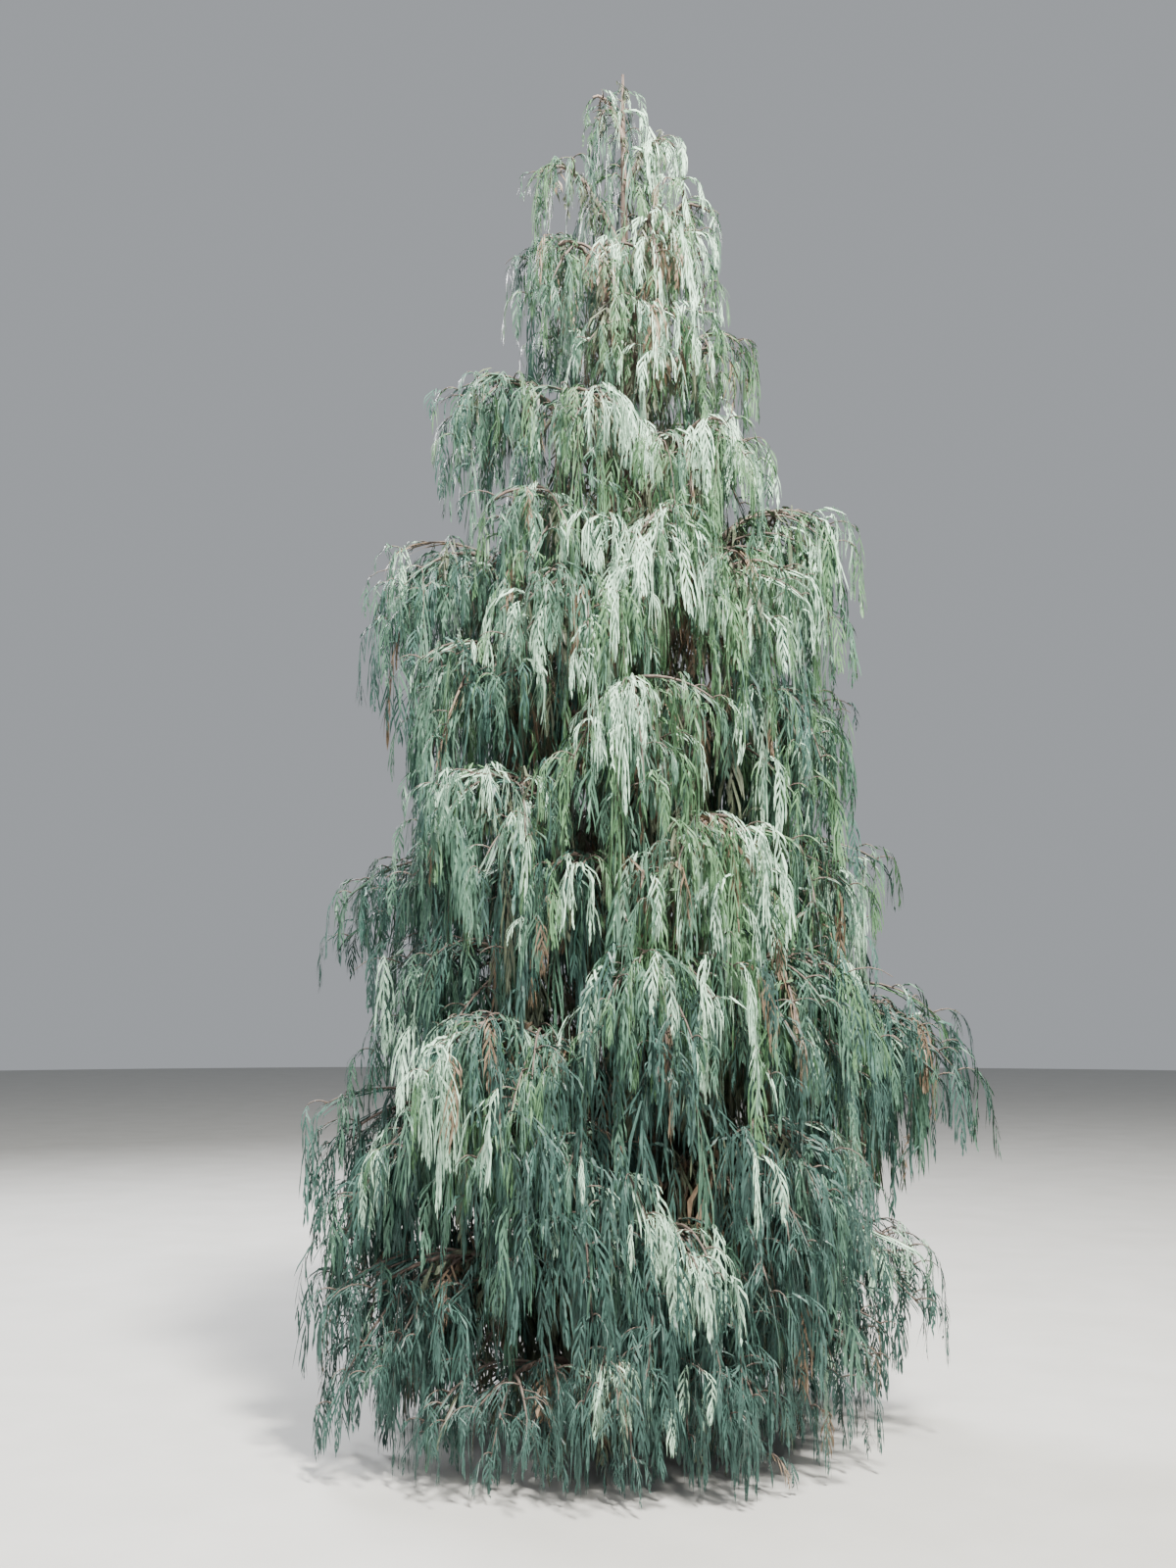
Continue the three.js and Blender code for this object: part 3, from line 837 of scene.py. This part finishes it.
# Lays a flat spray along each line. Where the line runs level, its branchlets droop to both sides.
def laySprays(template, sprays, nudge=0.02, leastFacing=0.05):
    points, faces = template
    paths = sprays["path"]
    count, steps = paths.shape[:2]
    wide = (sprays["length"] / sprayShape["size"]) ** sprayShape["widthPower"] * sprays["width"]
    turn = np.radians(between(-sprayShape["turn"], sprayShape["turn"], sprays["seed"] + 2.3))
    outward = unit((paths[:, -1] - trunkCentre(paths[:, -1, 2])) * [1, 1, 0])
    ahead = unit(np.gradient(paths, axis=1))
    place = points[:, 0] / points[:, 0].max() * (steps - 1)
    low = np.clip(np.floor(place).astype(int), 0, steps - 2)
    part = (place - low)[None, :, None]
    centre = paths[:, low] * (1 - part) + paths[:, low + 1] * part
    tangent = unit(ahead[:, low] * (1 - part) + ahead[:, low + 1] * part)
    level = np.linalg.norm(tangent[..., :2], axis=2)
    start = unit(ahead[:, 0] * [1, 1, 0] + heading(360 * scatter(sprays["seed"] + 9.1)) * nudge)
    across = np.cross(start, up)[:, None]
    facing = (start * outward).sum(axis=1)
    facing = np.where(np.abs(facing) < leastFacing, leastFacing, facing)
    turn += np.arctan(-(across[:, 0] * outward).sum(axis=1) / facing)
    across = unit(across - tangent * (across * tangent).sum(axis=2, keepdims=True))
    over = np.cross(across, tangent)
    twist = turn[:, None] * (1 - level)
    outWay = np.cos(twist)[..., None] * across + np.sin(twist)[..., None] * over
    liftWay = np.cos(twist)[..., None] * over - np.sin(twist)[..., None] * across
    out = points[None, :, 1] * wide[:, None]
    lifted = points[None, :, 2] * wide[:, None]
    spots = centre + outWay * (out * (1 - sprayShape["flatOut"] * level))[..., None]
    spots += liftWay * lifted[..., None]
    spots -= up * (sprayShape["flatDroop"] * level * np.abs(out))[..., None]
    inside = ((spots > lowLimit) & (spots < highLimit)).all(axis=(1, 2))
    spots = spots[inside]
    allFaces = faces[None] + (np.arange(len(spots)) * len(points))[:, None, None]
    return spots.reshape(-1, 3), allFaces.reshape(-1, 3), inside


# Foliage may stand a little outside the solids' own box, but not below the ground.
overhang = 0.025
allowance = 0.008
lowCorner, highCorner = (np.array(corner) for corner in cadBox)
lowLimit = lowCorner - (highCorner - lowCorner) * overhang - allowance
highLimit = highCorner + (highCorner - lowCorner) * overhang + allowance
lowLimit[2] = 0.003


def newObject(name, data):
    thing = bpy.data.objects.new(name, data)
    bpy.context.scene.collection.objects.link(thing)
    return thing


# A mesh from arrays of points and faces. Numbers, where given, deal the materials out to the faces.
def meshPiece(name, points, faces, materials, numbers=None, smooth=False):
    mesh = bpy.data.meshes.new(name)
    corners = faces.shape[1]
    mesh.vertices.add(len(points))
    mesh.vertices.foreach_set("co", points.astype(np.float32).ravel())
    mesh.loops.add(faces.size)
    mesh.loops.foreach_set("vertex_index", faces.astype(np.int32).ravel())
    mesh.polygons.add(len(faces))
    mesh.polygons.foreach_set("loop_start", np.arange(len(faces), dtype=np.int32) * corners)
    for material in materials:
        mesh.materials.append(material)
    if numbers is not None:
        mesh.polygons.foreach_set("material_index", numbers.astype(np.int32))
    mesh.update(calc_edges=True)
    mesh.polygons.foreach_set("use_smooth", np.full(len(faces), smooth))
    return newObject(name, mesh)


# Makes one mesh of several, each given as its points and faces.
def stacked(meshes):
    counts = [len(points) for points, faces in meshes]
    starts = np.cumsum([0] + counts[:-1])
    points = np.concatenate([points for points, faces in meshes])
    return points, np.concatenate([mesh[1] + start for mesh, start in zip(meshes, starts)])


# A closed tapering tube along each path, all with as many rings and sides.
def tubes(paths, radii, sides, relief=0.0, upright=0.95):
    count, rings = paths.shape[:2]
    along = unit(np.gradient(paths, axis=1))
    level = np.where(np.abs(along[:, :1, 2:]) > upright, [[[1.0, 0, 0]]], [[[0, 0, 1.0]]])
    across = unit(np.cross(along, level))
    over = np.cross(across, along)
    angles = np.arange(sides) / sides * 2 * math.pi
    number = np.arange(count)[:, None, None] * 3.7
    ring = np.arange(rings)[None, :, None]
    rough = 1 + relief * (scatter(number + ring * 0.37 + np.arange(sides) * 5.1) - 0.5)
    reach = radii[..., None] * rough
    spots = paths[:, :, None] + across[:, :, None] * (np.cos(angles) * reach)[..., None]
    spots = spots + over[:, :, None] * (np.sin(angles) * reach)[..., None]
    ends = np.stack([paths[:, 0], paths[:, -1] + along[:, -1] * radii[:, -1:]], axis=1)
    points = np.concatenate([spots.reshape(count, -1, 3), ends], axis=1)
    here = np.arange(rings - 1)[:, None] * sides
    a = here + np.arange(sides)[None]
    b = here + (np.arange(sides)[None] + 1) % sides
    sidesFaces = np.stack([a, b, b + sides, a, b + sides, a + sides], axis=-1).reshape(-1, 3)
    turn = np.arange(sides)
    onward = (turn + 1) % sides
    foot = np.full(sides, rings * sides)
    last = (rings - 1) * sides
    caps = [np.stack([onward, turn, foot], 1), np.stack([turn + last, onward + last, foot + 1], 1)]
    faces = np.concatenate([sidesFaces] + caps)
    allFaces = faces[None] + (np.arange(count) * points.shape[1])[:, None, None]
    return points.reshape(-1, 3), allFaces.reshape(-1, 3)


def setInputs(node, values):
    for label, value in values.items():
        node.inputs[label].default_value = value
    return node


# Noise on the piece's own coordinates, as a blend of two colours and as a value.
def buildMottle():
    group = bpy.data.node_groups.new("mottle", "ShaderNodeTree")
    for label in ("Dark", "Light"):
        group.interface.new_socket(label, in_out="INPUT", socket_type="NodeSocketColor")
    for label in ("Scale", "Stretch"):
        group.interface.new_socket(label, in_out="INPUT", socket_type="NodeSocketFloat")
    group.interface.new_socket("Color", in_out="OUTPUT", socket_type="NodeSocketColor")
    group.interface.new_socket("Value", in_out="OUTPUT", socket_type="NodeSocketFloat")
    nodes, links = group.nodes, group.links
    source = nodes.new("NodeGroupInput")
    target = nodes.new("NodeGroupOutput")
    place = nodes.new("ShaderNodeTexCoord")
    squeeze = setInputs(nodes.new("ShaderNodeCombineXYZ"), {0: 1, 1: 1})
    links.new(source.outputs["Stretch"], squeeze.inputs[2])
    scaled = nodes.new("ShaderNodeVectorMath")
    scaled.operation = "MULTIPLY"
    links.new(place.outputs["Object"], scaled.inputs[0])
    links.new(squeeze.outputs[0], scaled.inputs[1])
    noise = setInputs(nodes.new("ShaderNodeTexNoise"), {"Detail": 4, "Roughness": 0.6})
    links.new(scaled.outputs[0], noise.inputs["Vector"])
    links.new(source.outputs["Scale"], noise.inputs["Scale"])
    spread = setInputs(nodes.new("ShaderNodeMapRange"), {"From Min": 0.32, "From Max": 0.68})
    links.new(noise.outputs["Fac"], spread.inputs["Value"])
    blend = nodes.new("ShaderNodeMix")
    blend.data_type = "RGBA"
    links.new(spread.outputs[0], blend.inputs["Factor"])
    links.new(source.outputs["Dark"], blend.inputs[6])
    links.new(source.outputs["Light"], blend.inputs[7])
    links.new(blend.outputs[2], target.inputs["Color"])
    links.new(spread.outputs[0], target.inputs["Value"])
    return group


mottle = buildMottle()


def newMaterial(name, dark, light, scale, stretch, roughness, bump=0.0, sheen=0.0, specular=0.5):
    material = bpy.data.materials.new(name)
    material.use_nodes = True
    nodes, links = material.node_tree.nodes, material.node_tree.links
    shader = setInputs(nodes["Principled BSDF"], {"Sheen Weight": sheen, "Specular IOR Level": specular})
    spots = nodes.new("ShaderNodeGroup")
    spots.node_tree = mottle
    setInputs(spots, {"Dark": (*dark, 1), "Light": (*light, 1), "Scale": scale, "Stretch": stretch})
    links.new(spots.outputs["Color"], shader.inputs["Base Color"])
    rough = setInputs(nodes.new("ShaderNodeMapRange"), {"To Min": roughness[0], "To Max": roughness[1]})
    links.new(spots.outputs["Value"], rough.inputs["Value"])
    links.new(rough.outputs[0], shader.inputs["Roughness"])
    if bump:
        relief = setInputs(nodes.new("ShaderNodeBump"), {"Distance": bump})
        links.new(spots.outputs["Value"], relief.inputs["Height"])
        links.new(relief.outputs[0], shader.inputs["Normal"])
    return material


foliageMaterials = [
    newMaterial(f"foliage_{name}", *tone, 60, 0.5, (0.42, 0.64), sheen=0.03, specular=0.35)
    for name, tone in foliageTones.items()
]
barkTones = {
    "twig": ((0.055, 0.040, 0.034), (0.15, 0.115, 0.095), 60, 0.3, (0.6, 0.85)),
    "limb": ((0.085, 0.058, 0.047), (0.22, 0.165, 0.138), 45, 0.3, (0.7, 0.95), 0.004),
    "trunk": ((0.080, 0.055, 0.045), (0.25, 0.180, 0.145), 38, 0.14, (0.75, 0.95), 0.008),
}
twigBark, limbBark, trunkBark = (newMaterial(f"{name}_bark", *finish) for name, finish in barkTones.items())

# The trunk: a column cut into rings, laid along the trunk's own line, then roughened.
barkShape = {
    "sides": 72,
    "rings": 139,
    "closerBelow": 1.6,  # its rings stand closer together towards the ground
    "furrows": 0.05,  # as shares of the radius
    "strips": 0.028,
    "creases": 50,  # in degrees, from where an edge shades sharp
}

# The bark of all limbs.
limbBarkShape = {
    "sides": 8,
    "rings": 26,
    "relief": 0.22,
    "wobble": 0.004,
    "tip": 0.5,
}


def onlySelect(piece):
    bpy.ops.object.select_all(action="DESELECT")
    piece.select_set(True)
    bpy.context.view_layer.objects.active = piece


def buildTrunk():
    bpy.ops.object.select_all(action="DESELECT")
    bpy.ops.mesh.primitive_cylinder_add(vertices=barkShape["sides"], radius=1, depth=1)
    trunk = bpy.context.object
    trunk.name = "trunk_bark"
    bpy.ops.object.mode_set(mode="EDIT")
    bpy.ops.mesh.select_all(action="DESELECT")
    shape = bmesh.from_edit_mesh(trunk.data)
    for edge in shape.edges:
        foot, head = edge.verts
        edge.select_set(abs(foot.co.z - head.co.z) > 0.5)  # those from the foot of the column to its top
    bmesh.update_edit_mesh(trunk.data)
    bpy.ops.mesh.subdivide(number_cuts=barkShape["rings"])
    bpy.ops.object.mode_set(mode="OBJECT")
    count = len(trunk.data.vertices)
    spots = np.empty(count * 3, np.float32)
    trunk.data.vertices.foreach_get("co", spots)
    spots = spots.reshape(-1, 3)
    angle = np.arctan2(spots[:, 0], -spots[:, 1])
    height = treeShape["height"] * np.clip(spots[:, 2] + 0.5, 0, 1) ** barkShape["closerBelow"]
    radius = trunkThickness(height, angle)
    furrows = np.sin(angle * 11 + 3 * np.sin(height * 2.1)) * np.sin(angle * 5 - height * 1.3)
    strips = np.sin(angle * 19 + 2.4 * np.sin(height * 3.7)) * (0.6 + 0.4 * np.sin(height * 11 + angle * 3))
    radius = radius * (1 + barkShape["furrows"] * furrows + barkShape["strips"] * strips)
    placed = trunkCentre(height)
    placed[:, 0] += np.sin(angle) * radius
    placed[:, 1] -= np.cos(angle) * radius
    trunk.data.vertices.foreach_set("co", placed.astype(np.float32).ravel())
    trunk.data.update()
    trunk.data.materials.append(trunkBark)
    onlySelect(trunk)
    bpy.ops.object.shade_smooth_by_angle(angle=math.radians(barkShape["creases"]))
    return trunk


trunk = buildTrunk()
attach(trunk, "root")
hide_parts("trunk")
print("trunk", len(trunk.data.polygons))


# All limbs with their bark, from the trunk to where they end among the sprays.
def buildLimbs():
    rings = limbBarkShape["rings"]
    shares = np.linspace(0, 1, rings)
    paths = []
    radii = []
    for limb in limbs:
        seeds = limb["index"] * 3.3 + np.arange(rings)[:, None] * 0.05 + np.array([[0, 9, 4]])
        wobble = between(-1, 1, seeds) * limbBarkShape["wobble"]
        paths.append(archPoint(limb["arch"], shares) + wobble * np.sin(shares * math.pi)[:, None])
        tip = limbShape["tipRadius"]
        foot = tip + limbShape["swell"] * limb["reach"]
        radii.append(lerp(foot, tip, shares) * lerp(1, limbBarkShape["tip"], shares ** 2))
    points, faces = tubes(np.array(paths), np.array(radii), limbBarkShape["sides"], limbBarkShape["relief"])
    return meshPiece("limb_bark", points, faces, [limbBark], smooth=True)


boughNodes = [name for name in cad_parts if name.startswith("bough_")]
limbPiece = buildLimbs()
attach(limbPiece, "root")
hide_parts(*boughNodes)
print("limbs", len(limbPiece.data.polygons))


def joined(parts):
    return {key: np.concatenate([part[key] for part in parts]) for key in parts[0]}


# What carries foliage in one mass: its limb, arms, twigs and strands.
def growMass(limb):
    stem = bearer("limb", limb["arch"], limb["index"] * 17.3 + 1, limbShape)
    arms = growArms(limb)
    twigs = [twig for carrier in [stem] + arms for twig in growTwigs(limb, carrier)]
    strands = growStrands(limb, [stem] + arms + twigs)
    carriers = [stem] + arms + twigs + strands
    sprays = joined([growSprays(limb, carriers), growLining(limb)])
    if limb["index"] == leader["index"]:
        tips = growLeader()
        twigs += tips
        sprays = joined([sprays, growSprays(leader, tips)])
    return {"arms": arms, "twigs": twigs, "strands": strands, "sprays": sprays}


masses = [growMass(limb) for limb in limbs]
templates = [[sprayTemplate(kind, copy) for copy in range(kind["copies"])] for kind in sprayKinds.values()]
spraySizes = np.array([len(copies[0][1]) for copies in templates])
for kind in ("arms", "twigs", "strands"):
    print(kind, sum(len(mass[kind]) for mass in masses))
for number, kind in enumerate(kindNames):
    used = sum((mass["sprays"]["kind"] == number).sum() for mass in masses)
    print(kind, "sprays", used, "of", spraySizes[number])


# Neighbouring limbs share a piece, up to the most triangles that one may have.
def tiers(most):
    groups = [[]]
    load = 0
    for limb in limbs:
        own = spraySizes[masses[limb["index"]]["sprays"]["kind"]].sum()
        if load + own > most:
            groups.append([])
            load = 0
        groups[-1].append(limb["index"])
        load += own
    return groups


def nodeNames(indices):
    tags = [f"foliage_{index + 1:02d}_" for index in indices]
    return [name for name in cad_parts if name.startswith(tuple(tags))]


def buildTwigs(name, indices):
    meshes = []
    for kind, shape in (("arms", armShape), ("twigs", twigShape), ("strands", strandShape)):
        carriers = [carrier for index in indices for carrier in masses[index][kind]]
        if not carriers:
            continue
        shares = np.linspace(0, 1, shape["rings"])
        paths = np.array([archPoint(carrier["arch"], shares) for carrier in carriers])
        radii = np.tile(lerp(shape["radius"], shape["tipRadius"], shares), (len(carriers), 1))
        meshes.append(tubes(paths, radii, shape["sides"]))
    return meshPiece(name, *stacked(meshes), [twigBark], smooth=True)


def buildSprays(name, indices):
    sprays = joined([masses[index]["sprays"] for index in indices])
    chance = scatter(sprays["seed"] + 8.3)
    meshes = []
    numbers = []
    for number, copies in enumerate(templates):
        for copy, template in enumerate(copies):
            chosen = (sprays["kind"] == number) & ((chance * len(copies)).astype(int) == copy)
            if not chosen.any():
                continue
            part = {key: value[chosen] for key, value in sprays.items()}
            points, faces, inside = laySprays(template, part)
            meshes.append((points, faces))
            numbers.append(np.repeat(part["tone"][inside], len(template[1])))
    return meshPiece(name, *stacked(meshes), foliageMaterials, np.concatenate(numbers))


mostTriangles = 195000
total = 0
for number, indices in enumerate(tiers(mostTriangles), start=1):
    nodes = nodeNames(indices)
    twigPiece = buildTwigs(f"twigs_{number}", indices)
    sprayPiece = buildSprays(f"sprays_{number}", indices)
    for piece, slot in ((twigPiece, "bough_bark"), (sprayPiece, "foliage")):
        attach(piece, "root")
        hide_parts(*nodes)
        total += len(piece.data.polygons)
    print("tier", number, "limbs", len(indices), "sprays", len(sprayPiece.data.polygons))
print("foliage and twigs", total)


# Camera at the photograph's viewing angle, floor and soft light.
view = {
    "eye": (0.0, -6.305, 1.6),
    "pitch": 7.98,
    "yaw": 1.57,
    "lens": 36.9,
    "sensor": 36,
}
camera = newObject("camera", bpy.data.cameras.new("camera"))
camera.location = view["eye"]
camera.rotation_euler = (math.radians(90 + view["pitch"]), 0, math.radians(view["yaw"]))
camera.data.lens = view["lens"]
camera.data.sensor_width = view["sensor"]
bpy.context.scene.camera = camera


floorShape = {
    "radius": 40,
    "sides": 96,
    "paint": ((0.37, 0.37, 0.357), (0.405, 0.405, 0.395), 2, 1, (0.85, 0.92)),
}


def buildFloor():
    bpy.ops.object.select_all(action="DESELECT")
    sides, radius = floorShape["sides"], floorShape["radius"]
    bpy.ops.mesh.primitive_circle_add(vertices=sides, radius=radius, fill_type="NGON")
    floor = bpy.context.object
    floor.name = "floor"
    floor.data.materials.append(newMaterial("floor_paint", *floorShape["paint"]))
    return floor


buildFloor()


# Name, place, height that it is aimed at, size, power and colour of each light. The key is the sun.
lights = [
    ("key", (2.6, -5.4, 11.6), 2.8, 1.6, 7700, (1.0, 0.96, 0.88)),
    ("fill", (-3.5, -9.0, 4.5), 3.2, 5.0, 300, (0.94, 0.96, 1.0)),
    ("back", (-5.0, 6.5, 8.5), 2.6, 4.0, 2700, (0.98, 0.98, 1.0)),
]
roomLight = {"Color": (0.84, 0.88, 0.93, 1), "Strength": 0.44}


def addLight(name, place, aim, size, power, colour):
    lamp = bpy.data.lights.new(name, "AREA")
    lamp.shape = "DISK"
    lamp.size = size
    lamp.energy = power
    lamp.color = colour
    holder = newObject(name, lamp)
    holder.location = place
    x, y, z = up * aim - np.array(place)
    holder.rotation_euler = (math.atan2(math.hypot(x, y), -z), 0, math.atan2(y, x) - math.pi / 2)


for light in lights:
    addLight(*light)

world = bpy.data.worlds.new("studio")
world.use_nodes = True
setInputs(world.node_tree.nodes["Background"], roomLight)
bpy.context.scene.world = world
